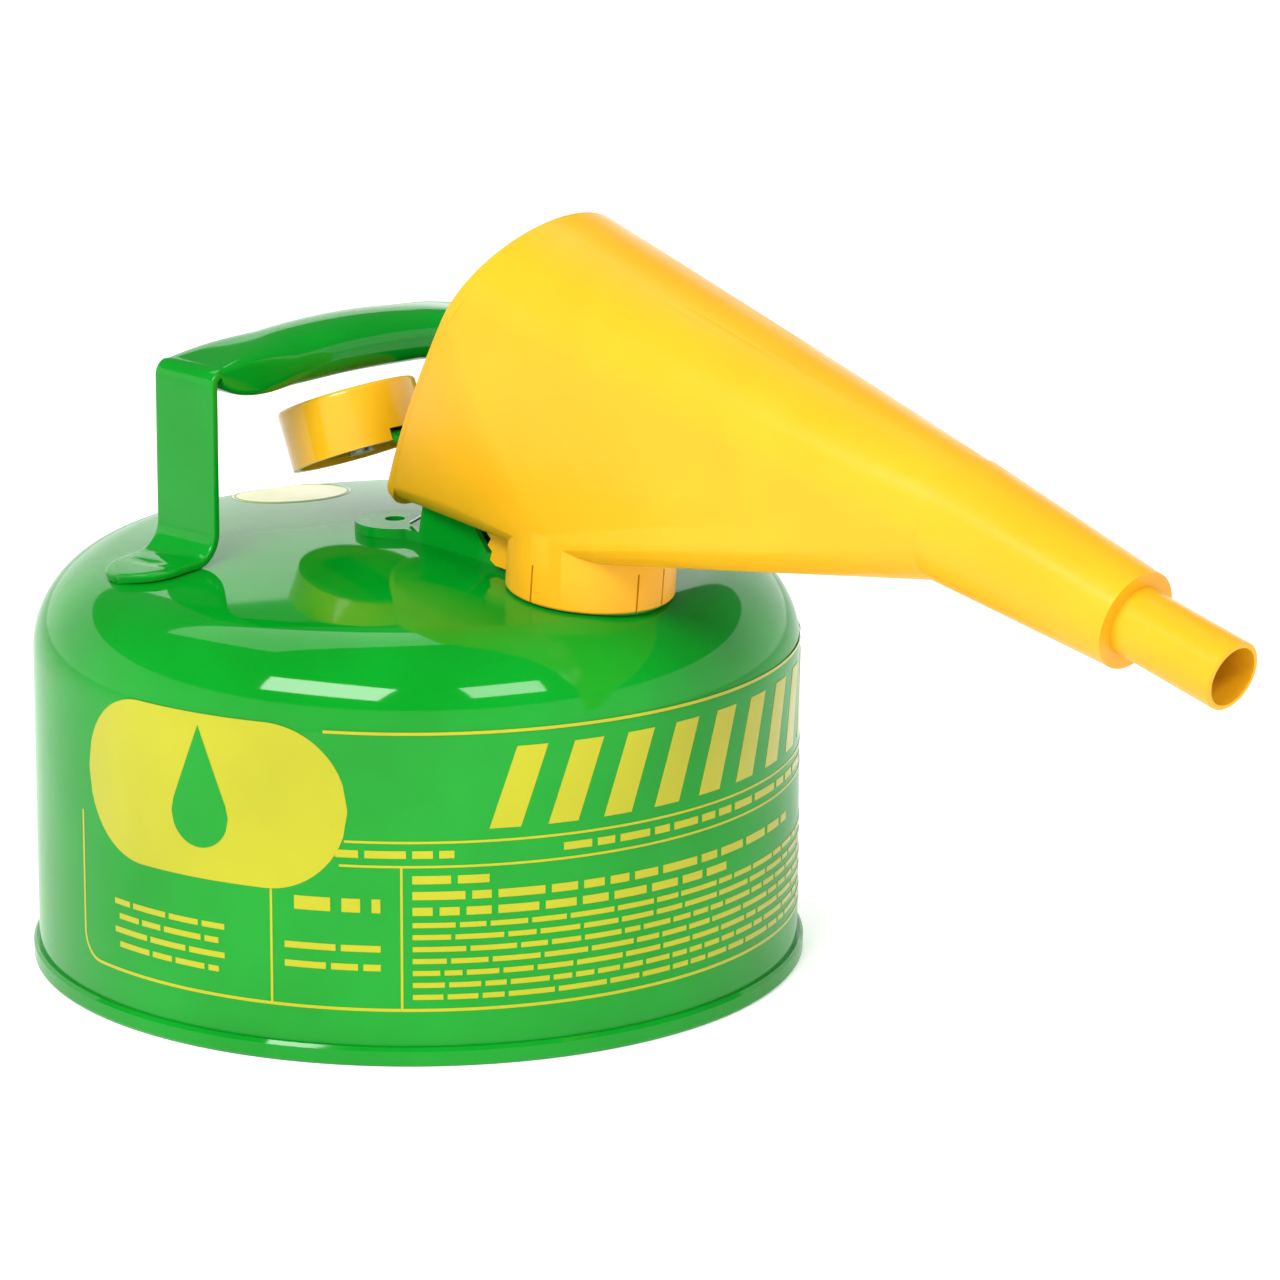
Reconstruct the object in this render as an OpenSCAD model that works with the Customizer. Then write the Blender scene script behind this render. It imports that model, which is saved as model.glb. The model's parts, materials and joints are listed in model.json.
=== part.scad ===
// Type I safety can: a one-gallon steel can with a spring-closed lid on a lever, a fixed bail handle
// and a lift-off pouring funnel.
// The origin is the centre of the base. +X points the way the can pours and +Z is up.

/* [Can body] */
// Outer radius of the side wall
wall_r = 112.6; // [105:0.1:120]
// Height at which the side wall turns into the shoulder
wall_top = 93; // [85:1:110]
// Radius of the rounded shoulder
knuckle_r = 27.5; // [22:0.5:30]
// Radius of the slightly crowned top
crown_r = 800; // [600:10:1200]
// Sheet thickness of the shell and the base
sheet_t = 0.9; // [0.6:0.1:1.2]
// Outer radius of the seam around the base
seam_r = 114.3; // [114:0.1:122]
// Height of the seam around the base
seam_h = 5.5; // [4:0.5:8]
// Height of the recessed base plate above the floor
base_recess = 6; // [4:0.5:8]

/* [Filler neck] */
// Distance of the neck from the can's axis
neck_x = 72; // [68:0.5:74]
// Forward lean of the neck, square to the crowned top there
neck_tilt = 5; // [3:0.5:7]
// Outer radius of the neck tube
neck_r = 19; // [18.5:0.1:19.2]
// Wall of the neck tube
neck_wall = 1; // [0.8:0.1:1.2]
// Height of the neck above the can's top
neck_h = 21; // [20:0.5:22]
// Outer radius of the step that the funnel sits on
step_r = 22.3; // [22:0.1:22.5]
// Height of that step
step_h = 7; // [6:0.5:8]
// Bead radius of the rolled lip
lip_r = 1.2; // [1:0.1:1.4]

/* [Flame arrester] */
// Outer radius of the mesh tube
mesh_r = 16.5; // [15:0.1:17]
// Length of the mesh tube
mesh_len = 70; // [50:1:80]
// Thickness of the doubled mesh
mesh_t = 0.5; // [0.4:0.1:0.8]

/* [Lid] */
// Outer radius of the lid
lid_r = 21.5; // [21.2:0.1:21.6]
// Overall height of the lid
lid_h = 6.9; // [6.5:0.1:7.5]
// Thickness of the lid's sheet
lid_t = 0.8; // [0.6:0.1:1]
// Thickness of the rubber gasket
gasket_t = 2.4; // [2:0.1:2.6]
// Gap between the gasket and the neck's lip
gasket_gap = 0.15; // [0.05:0.05:0.3]

/* [Lid lever and hinge] */
// Distance of the hinge pin from the can's axis
pin_x = 17; // [16:0.5:19]
// Height of the hinge pin
pin_z = 143; // [142:0.5:144]
// Radius of the hinge pin
pin_r = 2.5; // [2:0.1:2.6]
// Radial clearance of the pin in the lever
pin_gap = 0.05; // [0.02:0.01:0.1]
// Width of the lever strap
lever_w = 9.4; // [9:0.1:9.6]
// Thickness of the lever strap
lever_t = 2; // [1.6:0.1:2.2]
// Wire diameter of the return spring
wire_d = 1; // [0.8:0.1:1.1]

/* [Thumb cap] */
// Radius of the thumb cap
cap_r = 21; // [20:0.5:21.5]
// Height of the thumb cap
cap_h = 18; // [16:0.5:18.5]
// Backward lean of the thumb cap
cap_tilt = 23; // [20:1:24]
// Centre of the thumb cap's underside, along X
cap_x = -23.5; // [-24.5:0.5:-22.5]
// Centre of the thumb cap's underside, along Z
cap_z = 145.5; // [145:0.5:146.5]
// Depth of the recess under the thumb cap that takes the lever's end
cap_rim = 3.5; // [3:0.5:4]

/* [Handle] */
// Position of the handle's plane along X
handle_x = -33; // [-36:1:-30]
// Width of the handle strap
strap_w = 25; // [22:1:26]
// Thickness of the handle strap
strap_t = 3; // [2.5:0.1:3.5]
// Distance of each leg's outer face from the middle
leg_y = 61; // [58:1:64]
// Distance of each foot's tip from the middle
foot_y = 87; // [84:1:90]
// Height of the top of the grip
grip_top = 186; // [184:0.5:190]
// Thickness of the grip
grip_t = 17; // [14:0.5:17.5]

/* [Funnel] */
// Wall of the funnel
funnel_wall = 2; // [1.6:0.1:2.4]
// Outer radius of the collar around the neck
collar_r = 24.2; // [24:0.1:25]
// Radial clearance of the collar on the neck's step
collar_gap = 0.1; // [0.02:0.01:0.1]
// Tilt of the mouth from level
mouth_tilt = 53; // [52:1:54]
// Radius of the wide upper end of the mouth
mouth_r = 31; // [28:0.5:34]
// Outer radius of the pouring tip
tip_r = 9.7; // [9.2:0.1:10]
// Bore radius of the pouring tip
tip_bore_r = 8.2; // [7:0.1:8.4]
// Length of the pouring tip
tip_len = 34; // [30:1:40]

/* [Hidden] */

$fn = 96;
hull_fn = 32;
eps = 0.01;

can_green = [0.05, 0.55, 0.20];
funnel_yellow = [0.98, 0.80, 0.12];

// The crowned top is a sphere that meets the shoulder's arc without a crease.
shoulder_cr = wall_r - knuckle_r;
crown_rise = sqrt(pow(crown_r - knuckle_r, 2) - pow(shoulder_cr, 2));
crown_cz = wall_top - crown_rise;
crown_apex = crown_cz + crown_r;
crown_angle = atan2(crown_rise, shoulder_cr);
function crown_z(r) = crown_cz + sqrt(crown_r * crown_r - r * r);

neck_z = crown_z(neck_x);
neck_bore_r = neck_r - neck_wall;
neck_below = 6;
collar_seat_h = 4;

lid_top = neck_h + gasket_gap + gasket_t + lid_t;
rivet_r = 2.5;

// The mouth's outline is a wide circle and a narrow one joined by straight sides.
mouth_low = [-5, 0, 136];
mouth_wide_u = 86;
mouth_narrow_u = 12;
mouth_narrow_r = 12;
floor_h = 13;
// The bowl is this much smaller than the collar and the snout where it meets them.
bowl_step = 0.4;
snout_start = [212.6, 0, 166.7];
snout_fall = 14.8;
snout_start_r = 17.8;
snout_end_r = 13.9;
snout_len = 63;
lug_window_y = 9.4;
lug_window_x = [8, 56];

bracket_t = 3;
lug_t = 1.8;
lug_in_y = lever_w / 2 + 0.3;
lug_out_y = lug_in_y + lug_t;
lug_top_r = 6;
lug_base_x = [7.5, 38];
tail_x = -8.5;
tail_r = 12.5;
tail_hole_x = -9.5;
tail_hole_r = 3;
bracket_front_x = 46.5;

cheek_t = 1.5;
cheek_r = 5;
pin_head_r = 4;
pin_head_t = 1.5;
clip_t = 0.8;
groove_r = pin_r - 0.4;

coil_r = pin_r + 1.1;
coil_turns = 4;
coil_pitch = 1.12;

label_x = -75;
label_y = 18;
label_r = 18;
label_t = 0.15;

// ---- Helper functions ----

function unit(v) = v / norm(v);
function backwards(list) = [for (i = [len(list) - 1:-1:0]) list[i]];

// Points of an arc about centre c, from angle a0 to a1
function arc(c, r, a0, a1, n) = [for (i = [0:n]) let (a = a0 + (a1 - a0) * i / n) c + r * [cos(a), sin(a)]];

// Points that round the corner at b, between its neighbours a and c, to radius r
function corner(a, b, c, r, n = 8) =
    let (
        u = unit(a - b),
        v = unit(c - b),
        half = acos(u * v) / 2,
        centre = b + unit(u + v) * r / sin(half),
        s = b + u * r / tan(half) - centre,
        e = b + v * r / tan(half) - centre,
        sweep = 180 - 2 * half
    )
    [for (k = [0:n]) centre + (s * sin(sweep * (1 - k / n)) + e * sin(sweep * k / n)) / sin(sweep)];

// A path whose inner corners are rounded to the radii given
function rounded(p, radii) = concat(
    [p[0]],
    [for (i = [1:len(p) - 2]) each corner(p[i - 1], p[i], p[i + 1], radii[i - 1])],
    [p[len(p) - 1]]
);

// The left normal of a 2D path at point i
function normal_at(p, i) =
    let (
        d = unit(p[min(i + 1, len(p) - 1)] - p[max(i - 1, 0)])
    )
    [-d[1], d[0]];

// Outline of a strip of thickness t that follows a 2D path
function strip(p, t) = concat(
    [for (i = [0:len(p) - 1]) p[i] + normal_at(p, i) * t / 2],
    backwards([for (i = [0:len(p) - 1]) p[i] - normal_at(p, i) * t / 2])
);

// ---- Helper modules ----

// Half section of the can's outside, moved outwards by grow, from height low to the axis
function can_section(grow, low) = concat(
    [[wall_r + grow, low]],
    arc([shoulder_cr, wall_top], knuckle_r + grow, 0, crown_angle, 14),
    arc([0, crown_cz], crown_r + grow, crown_angle + 0.8, 90, 7)
);

module can_solid(grow = 0) {
    rotate_extrude()
        polygon(concat([[0, 2]], can_section(grow, 2)));
}

module at_neck(h = 0) {
    translate([neck_x, 0, neck_z])
        rotate([0, neck_tilt, 0])
            translate([0, 0, h])
                children();
}

module ring(r_out, r_in, h) {
    difference() {
        cylinder(r = r_out, h = h);
        translate([0, 0, -1])
            cylinder(r = r_in, h = h + 2);
    }
}

// A plate drawn in the XZ plane, centred on Y = 0
module side_plate(w) {
    rotate([90, 0, 0])
        linear_extrude(height = w, center = true)
            children();
}

// A round bar along Y from y0 to y1
module bar_y(x, z, r, y0, y1) {
    translate([x, y0, z])
        rotate([-90, 0, 0])
            cylinder(r = r, h = y1 - y0);
}

// Wire swept along 3D points that curl about Y
module wire(p, r, sides = 8) {
    rings = [
        for (i = [0:len(p) - 1])
            let (
                t = unit(p[min(i + 1, len(p) - 1)] - p[max(i - 1, 0)]),
                a = unit(cross(t, [0, 1, 0])),
                b = cross(a, t)
            )
            each [for (k = [0:sides - 1]) p[i] + r * (a * cos(360 * k / sides) + b * sin(360 * k / sides))]
    ];
    last = (len(p) - 1) * sides;
    faces = concat(
        [[for (k = [0:sides - 1]) k]],
        [[for (k = [sides - 1:-1:0]) last + k]],
        [
            for (i = [0:len(p) - 2], k = [0:sides - 1])
                let (n = (k + 1) % sides)
                [i * sides + n, i * sides + k, (i + 1) * sides + k, (i + 1) * sides + n]
        ]
    );
    polyhedron(points = rings, faces = faces, convexity = 10);
}

// ---- Can ----

module can_body() {
    color(can_green)
        difference() {
            rotate_extrude()
                polygon(concat(can_section(0, sheet_t), backwards(can_section(-sheet_t, sheet_t))));
            at_neck(-20)
                cylinder(r = neck_r, h = 40);
        }
}

// The base plate is recessed, and its edge wraps the foot of the wall as the seam.
module bottom_pan() {
    in_r = wall_r - sheet_t;
    color(can_green)
        rotate_extrude()
            polygon([
                [0, base_recess],
                [in_r - sheet_t, base_recess],
                [in_r - sheet_t, 0],
                [seam_r - 0.6, 0],
                [seam_r, 0.8],
                [seam_r, seam_h - 1],
                [seam_r - 0.8, seam_h],
                [wall_r, seam_h],
                [wall_r, sheet_t],
                [in_r, sheet_t],
                [in_r, base_recess + sheet_t],
                [0, base_recess + sheet_t]
            ]);
}

// The neck passes through the can's top. Its step is trimmed to sit on the crown.
module filler_neck() {
    color(can_green)
        difference() {
            union() {
                at_neck(-neck_below)
                    cylinder(r = neck_r, h = neck_below + neck_h - lip_r);
                at_neck(neck_h - lip_r)
                    rotate_extrude()
                        translate([neck_r - 0.2, 0])
                            circle(r = lip_r, $fn = 24);
                difference() {
                    at_neck(-4)
                        cylinder(r = step_r, h = step_h + 4);
                    can_solid();
                }
            }
            at_neck(-neck_below - 1)
                cylinder(r = neck_bore_r, h = neck_h + neck_below + 5);
        }
}

// ---- Flame arrester ----

module arrester_collar() {
    color("goldenrod")
        at_neck(neck_h - 5 - collar_seat_h)
            union() {
                ring(neck_bore_r, mesh_r, collar_seat_h);
                translate([0, 0, collar_seat_h - 1])
                    ring(neck_bore_r, mesh_r - 1.5, 1);
            }
}

module arrester_mesh() {
    color("darkgoldenrod")
        at_neck(neck_h - 6 - mesh_len)
            ring(mesh_r, mesh_r - mesh_t, mesh_len);
}

module arrester_cap() {
    color("goldenrod")
        at_neck(neck_h - 6 - mesh_len - 1)
            union() {
                cylinder(r = mesh_r + 0.8, h = 1);
                translate([0, 0, 1])
                    ring(mesh_r + 0.8, mesh_r, 4);
            }
}

// An open spring ring that keeps the arrester down in the neck
module arrester_clip() {
    color("silver")
        at_neck(neck_h - 5)
            difference() {
                ring(neck_bore_r, neck_bore_r - 1.2, 1);
                translate([0, -2, -1])
                    cube([30, 4, 4]);
            }
}

// ---- Lid ----

module lid() {
    color("silver")
        at_neck(lid_top - lid_h)
            difference() {
                cylinder(r = lid_r, h = lid_h);
                translate([0, 0, -1])
                    cylinder(r = lid_r - lid_t, h = lid_h - lid_t + 1);
                cylinder(r = rivet_r, h = lid_h + 1);
            }
}

module lid_gasket() {
    color("dimgray")
        at_neck(neck_h + gasket_gap)
            ring(lid_r - lid_t, rivet_r, gasket_t);
}

module gasket_washer() {
    color("silver")
        at_neck(neck_h + gasket_gap - 0.8)
            ring(13, rivet_r, 0.8);
}

module lid_rivet() {
    washer_low = neck_h + gasket_gap - 0.8;
    color("silver") {
        at_neck(washer_low - 1.2)
            cylinder(r = 4.4, h = 1.2);
        at_neck(washer_low - 0.5)
            cylinder(r = rivet_r, h = lid_top + lever_t - washer_low + 1);
        at_neck(lid_top + lever_t)
            cylinder(r1 = 4.4, r2 = 3, h = 1.6, $fn = 32);
    }
}

// ---- Lever, bracket and hinge ----

// A point of the neck's own frame, as [x, z] of the can
function neck_point(u, h) = [
    neck_x + u * cos(neck_tilt) + h * sin(neck_tilt),
    neck_z - u * sin(neck_tilt) + h * cos(neck_tilt)
];

// A point of the thumb cap's own frame, as [x, z] of the can
function cap_point(u, h) = [
    cap_x + u * cos(cap_tilt) - h * sin(cap_tilt),
    cap_z + u * sin(cap_tilt) + h * cos(cap_tilt)
];

lever_path = rounded(
    [
        neck_point(16, lid_top + lever_t / 2),
        neck_point(-24, lid_top + lever_t / 2),
        [pin_x, pin_z + 8.5],
        cap_point(17, cap_rim - lever_t / 2),
        cap_point(-14, cap_rim - lever_t / 2)
    ],
    [30, 40, 9]
);

module lid_lever() {
    color(can_green)
        difference() {
            union() {
                side_plate(lever_w)
                    polygon(strip(lever_path, lever_t));
                for (s = [-1, 1])
                    translate([0, s * (lever_w - cheek_t) / 2, 0])
                        side_plate(cheek_t) {
                            translate([pin_x, pin_z])
                                circle(r = cheek_r);
                            polygon([
                                [pin_x - cheek_r, pin_z],
                                [pin_x + cheek_r, pin_z],
                                [pin_x + 9, pin_z + 8.5],
                                [pin_x - 9, pin_z + 8.5]
                            ]);
                        }
            }
            bar_y(pin_x, pin_z, pin_r + pin_gap, -10, 10);
            at_neck(lid_top - 1)
                cylinder(r = rivet_r, h = 6);
            at_cap()
                cylinder(r = 2, h = cap_rim + 1);
        }
}

module hinge_bracket() {
    // The strap follows the crown, so its path is worked out from the crown's own curve.
    strap_path = [
        for (i = [0:12])
            let (x = tail_x - tail_r + (bracket_front_x - tail_x + tail_r) * i / 12)
            [x, crown_z(x) + bracket_t / 2]
    ];
    color(can_green)
        difference() {
            union() {
                intersection() {
                    side_plate(2 * tail_r + 2)
                        polygon(strip(strap_path, bracket_t));
                    translate([0, 0, 100])
                        linear_extrude(height = 60)
                            union() {
                                translate([tail_x, 0])
                                    circle(r = tail_r);
                                translate([tail_x, -lug_out_y])
                                    square([bracket_front_x - tail_x, 2 * lug_out_y]);
                            }
                }
                for (s = [-1, 1])
                    translate([0, s * (lug_in_y + lug_t / 2), 0])
                        side_plate(lug_t) {
                            translate([pin_x, pin_z])
                                circle(r = lug_top_r);
                            polygon([
                                [lug_base_x[0], crown_apex + 0.5],
                                [lug_base_x[1], crown_apex + 0.5],
                                [pin_x + lug_top_r - 0.4, pin_z + 2],
                                [pin_x - lug_top_r + 0.4, pin_z + 2]
                            ]);
                        }
            }
            can_solid();
            translate([tail_hole_x, 0, crown_apex - 5])
                cylinder(r = tail_hole_r, h = 20);
            bar_y(pin_x, pin_z, pin_r, -12, 12);
        }
}

module hinge_pin() {
    end_y = lug_out_y + 2;
    color("silver")
        difference() {
            union() {
                bar_y(pin_x, pin_z, pin_r, -lug_out_y - 0.5, end_y);
                bar_y(pin_x, pin_z, pin_head_r, -lug_out_y - pin_head_t, -lug_out_y);
            }
            difference() {
                bar_y(pin_x, pin_z, pin_r + 1, lug_out_y, lug_out_y + clip_t);
                bar_y(pin_x, pin_z, groove_r, lug_out_y - 1, lug_out_y + clip_t + 1);
            }
        }
}

// An open retaining clip in the pin's groove
module pin_clip() {
    color("dimgray")
        difference() {
            bar_y(pin_x, pin_z, pin_head_r + 0.6, lug_out_y, lug_out_y + clip_t);
            bar_y(pin_x, pin_z, groove_r, lug_out_y - 1, lug_out_y + 2);
            translate([pin_x - groove_r * 0.8, lug_out_y - 1, pin_z - 8])
                cube([groove_r * 1.6, 4, 8]);
        }
}

// The spring's coil winds about the pin. One leg bears on the bracket and one lifts the lever's rear arm.
module lid_spring() {
    start = -60;
    turn = 360 * coil_turns + 129;
    steps = 16 * coil_turns + 6;
    coil = [
        for (i = [0:steps])
            let (a = start + turn * i / steps)
            [
                pin_x + coil_r * cos(a),
                coil_pitch * coil_turns * (i / steps - 0.5),
                pin_z + coil_r * sin(a)
            ]
    ];
    low_leg = coil[0] + 22 * [-cos(start + 90), 0, -sin(start + 90)];
    high_leg = coil[steps] + 12.5 * [-sin(start + turn), 0, cos(start + turn)];
    color("silver")
        wire(concat([low_leg], coil, [high_leg]), wire_d / 2);
}

// ---- Thumb cap ----

module at_cap(h = 0) {
    translate([cap_x, 0, cap_z])
        rotate([0, -cap_tilt, 0])
            translate([0, 0, h])
                children();
}

// A moulded cap, hollow inside, with a boss for its screw. The lever's end lies in the recess below its
// floor.
module thumb_cap() {
    edge = 1.2;
    inner_r = cap_r - 2.2;
    boss_r = 6;
    boss_top = 10;
    color(funnel_yellow)
        at_cap()
            difference() {
                rotate_extrude()
                    polygon(concat(
                        [[2, cap_rim], [inner_r, cap_rim], [inner_r, 0], [cap_r, 0]],
                        arc([cap_r - edge, cap_h - edge], edge, 0, 90, 4),
                        [[0, cap_h], [0, cap_h - 3], [inner_r, cap_h - 3], [inner_r, cap_rim + 2]],
                        [[boss_r, cap_rim + 2], [boss_r, boss_top], [2, boss_top]]
                    ));
                // The lever comes in through a slot in the rim.
                translate([10, -lever_w / 2 - 0.3, -1])
                    cube([cap_r, lever_w + 0.6, cap_rim + 1]);
            }
}

module thumb_cap_screw() {
    head_h = cap_rim - lever_t;
    color("silver")
        at_cap() {
            cylinder(r = 4, h = head_h);
            translate([0, 0, head_h - 0.5])
                cylinder(r = 2, h = lever_t + 6);
        }
}

// ---- Handle ----

// Half of the strap's path in the handle's plane, from the tip of one foot to the side of the grip
handle_path = let (in_y = leg_y - strap_t / 2) rounded(
    [
        [foot_y, crown_z(norm([handle_x, foot_y])) + 0.6],
        [in_y, crown_z(norm([handle_x, in_y])) + strap_t / 2 + 0.2],
        [in_y, grip_top - 8.7],
        [38, grip_top - 4.3]
    ],
    [9, 3.5]
);

// Sections of one half of the grip: distance from the middle, half thickness, and drop below grip_top
grip_rows = [
    [0, grip_t * 0.5, 0],
    [20, grip_t * 0.49, 0.8],
    [36, grip_t * 0.45, 2.5],
    [46, grip_t * 0.38, 4.1],
    [54, 1.6, 6.3]
];

// One oval section of the grip
module grip_section(y, half_h, top) {
    translate([handle_x, y, top - half_h])
        rotate([90, 0, 0])
            scale([strap_w / 2 - 0.4, half_h, 1])
                cylinder(r = 1, h = 0.5, center = true, $fn = hull_fn);
}

module handle() {
    tip_r_plan = strap_w / 2;
    color(can_green)
        union() {
            difference() {
                for (s = [-1, 1])
                    translate([handle_x, 0, 0])
                        scale([1, s, 1])
                            rotate([90, 0, 90])
                                linear_extrude(height = strap_w, center = true)
                                    polygon(strip(handle_path, strap_t));
                can_solid();
                // The corners of each foot are cut round.
                for (s = [-1, 1])
                    translate([handle_x, s * (foot_y - tip_r_plan), 100])
                        scale([1, s, 1])
                            linear_extrude(height = 40)
                                difference() {
                                    translate([-20, 0])
                                        square([40, 20]);
                                    circle(r = tip_r_plan);
                                }
            }
            hull()
                for (s = [-1, 1])
                    for (row = grip_rows)
                        grip_section(s * row[0], row[1], grip_top - row[2]);
        }
}

// ---- Funnel ----

module at_mouth(u, h) {
    translate(mouth_low)
        rotate([0, -mouth_tilt, 0])
            translate([u, 0, h])
                children();
}

module at_snout(h) {
    translate(snout_start)
        rotate([0, 90 + snout_fall, 0])
            translate([0, 0, h])
                children();
}

// The bowl joins the mouth, the floor around the collar and the start of the snout.
// It is drawn once as the outside and once, smaller by the wall, as the hollow.
module bowl(inset, past) {
    hull() {
        at_mouth(mouth_wide_u, -0.5 + past)
            cylinder(r = mouth_r - inset, h = 0.5, $fn = 2 * hull_fn);
        at_mouth(mouth_narrow_u, -0.5 + past)
            cylinder(r = mouth_narrow_r - inset, h = 0.5, $fn = hull_fn);
        at_neck(floor_h + inset)
            cylinder(r = collar_r - bowl_step - inset, h = 0.5, $fn = 2 * hull_fn);
        at_snout(0.5)
            cylinder(r = snout_start_r - bowl_step - inset, h = 0.5, $fn = 2 * hull_fn);
    }
}

module snout(inset, len) {
    at_snout(0)
        cylinder(r1 = snout_start_r - inset, r2 = snout_end_r - inset, h = len, $fn = 2 * hull_fn);
}

module funnel() {
    color(funnel_yellow)
        difference() {
            union() {
                bowl(0, 0);
                snout(0, snout_len);
                at_snout(snout_len - 1)
                    cylinder(r = tip_r, h = tip_len + 1);
                at_neck(0.3)
                    cylinder(r = collar_r, h = floor_h);
            }
            bowl(funnel_wall, 1);
            snout(funnel_wall, snout_len - funnel_wall);
            at_snout(snout_len - funnel_wall - 1)
                cylinder(r = tip_bore_r, h = tip_len + funnel_wall + 3);
            at_neck(-2)
                cylinder(r = step_r + collar_gap, h = floor_h + 8);
            // The bracket's lugs stand up through this window in the floor.
            translate([lug_window_x[0], -lug_window_y, 134])
                cube([lug_window_x[1] - lug_window_x[0], 2 * lug_window_y, 12]);
            // Trim to the mouth's plane
            at_mouth(-40, 0)
                translate([0, -80, 0])
                    cube([240, 160, 60]);
        }
}

// ---- Label ----

module dome_label() {
    color("khaki")
        intersection() {
            difference() {
                can_solid(label_t);
                can_solid();
            }
            translate([label_x, label_y, 100])
                cylinder(r = label_r, h = 40);
        }
}

can_body();
bottom_pan();
filler_neck();
arrester_collar();
arrester_mesh();
arrester_cap();
arrester_clip();
lid();
lid_gasket();
gasket_washer();
lid_rivet();
lid_lever();
hinge_bracket();
hinge_pin();
pin_clip();
lid_spring();
thumb_cap();
thumb_cap_screw();
handle();
funnel();
dome_label();
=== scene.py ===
"""The looks of the safety gas can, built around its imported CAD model.

Lengths in the shape sections are millimetres, as in the CAD source, and mm() turns them into metres.
"""
import json
import math
import random

import bmesh
import bpy
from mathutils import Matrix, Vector


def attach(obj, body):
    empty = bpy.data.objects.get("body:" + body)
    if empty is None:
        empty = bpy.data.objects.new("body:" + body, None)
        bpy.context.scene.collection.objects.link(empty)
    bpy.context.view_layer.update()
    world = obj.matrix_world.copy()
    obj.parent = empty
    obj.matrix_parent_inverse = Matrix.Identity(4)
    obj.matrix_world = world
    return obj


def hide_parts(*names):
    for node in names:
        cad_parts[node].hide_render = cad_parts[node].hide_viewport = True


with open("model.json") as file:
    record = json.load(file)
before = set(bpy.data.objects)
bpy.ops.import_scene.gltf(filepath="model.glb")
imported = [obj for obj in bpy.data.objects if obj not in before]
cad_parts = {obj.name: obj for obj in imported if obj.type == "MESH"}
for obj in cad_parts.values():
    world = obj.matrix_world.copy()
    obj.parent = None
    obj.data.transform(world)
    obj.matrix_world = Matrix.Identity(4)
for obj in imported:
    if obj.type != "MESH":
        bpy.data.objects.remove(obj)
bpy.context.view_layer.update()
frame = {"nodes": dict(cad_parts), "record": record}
MM = 0.001

# ---- Sizes that the CAD source also uses ----

WALL_R = 112.6
WALL_TOP = 93.0
KNUCKLE_R = 27.5
SHEET_T = 0.9
CROWN_R = 800.0
SHOULDER_R = WALL_R - KNUCKLE_R
CROWN_RISE = math.sqrt((CROWN_R - KNUCKLE_R) ** 2 - SHOULDER_R ** 2)
CROWN_Z = WALL_TOP - CROWN_RISE
CROWN_EDGE_R = SHOULDER_R * CROWN_R / (CROWN_R - KNUCKLE_R)

NECK_X = 72.0
NECK_TILT = math.radians(5)
NECK_Z = CROWN_Z + math.sqrt(CROWN_R ** 2 - NECK_X ** 2)
NECK_R = 19.0
STEP_R = 22.3

HANDLE_X = -33.0
STRAP_W = 25.0
STRAP_T = 3.0
LEG_Y = 61.0
FOOT_Y = 87.0
GRIP_TOP = 186.0
GRIP_T = 17.0

FUNNEL_WALL = 2.0
COLLAR_R = 24.2
COLLAR_GAP = 0.1
FLOOR_H = 13.0
MOUTH_LOW = Vector((-5, 0, 136))
MOUTH_TILT = math.radians(53)
MOUTH_WIDE = (86.0, 31.0)  # place along the mouth's plane and radius, as in the next line
MOUTH_NARROW = (12.0, 12.0)
SNOUT_START = Vector((212.6, 0, 166.7))
SNOUT_FALL = math.radians(14.8)
SNOUT_R = (17.8, 13.9)  # at the bowl and at the tip
SNOUT_LEN = 63.0
TIP_R = 9.7
TIP_BORE_R = 8.2
TIP_LEN = 34.0

LABEL_CENTRE = (-75.0, 18.0)
LABEL_R = 18.0


def mm(point):
    """A point in millimetres as a Vector in metres."""
    return Vector(point) * MM


def top_z(r):
    """Height of the can's top, shoulder included, at distance r from its axis."""
    if r < CROWN_EDGE_R:
        return CROWN_Z + math.sqrt(CROWN_R ** 2 - r * r)
    return WALL_TOP + math.sqrt(max(0.0, KNUCKLE_R ** 2 - (r - SHOULDER_R) ** 2))


def steps(start, end, count):
    """count + 1 evenly spaced numbers from start to end."""
    return [start + (end - start) * i / count for i in range(count + 1)]


def smoothstep(low, high, value):
    """0 below low, 1 above high, and a smooth rise between."""
    t = min(1.0, max(0.0, (value - low) / (high - low)))
    return t * t * (3 - 2 * t)


# ---- Materials ----


def new_material(name):
    """A new material with its nodes and links."""
    material = bpy.data.materials.new(name)
    material.use_nodes = True
    return material, material.node_tree.nodes, material.node_tree.links


def noise(nodes, links, scale, detail=3.0, stretch=(1, 1, 1)):
    """Noise in the object's own coordinates. scale counts features per metre."""
    coords = nodes.new("ShaderNodeTexCoord")
    mapping = nodes.new("ShaderNodeMapping")
    mapping.inputs["Scale"].default_value = stretch
    texture = nodes.new("ShaderNodeTexNoise")
    texture.inputs["Scale"].default_value = scale
    texture.inputs["Detail"].default_value = detail
    links.new(coords.outputs["Object"], mapping.inputs["Vector"])
    links.new(mapping.outputs["Vector"], texture.inputs["Vector"])
    return texture.outputs["Fac"]


def ramp(nodes, links, source, low, high, at=(0.35, 0.65)):
    """Colours low to high along the source value."""
    node = nodes.new("ShaderNodeValToRGB")
    node.color_ramp.elements[0].position = at[0]
    node.color_ramp.elements[1].position = at[1]
    node.color_ramp.elements[0].color = (*low, 1)
    node.color_ramp.elements[1].color = (*high, 1)
    links.new(source, node.inputs["Fac"])
    return node.outputs["Color"]


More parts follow.
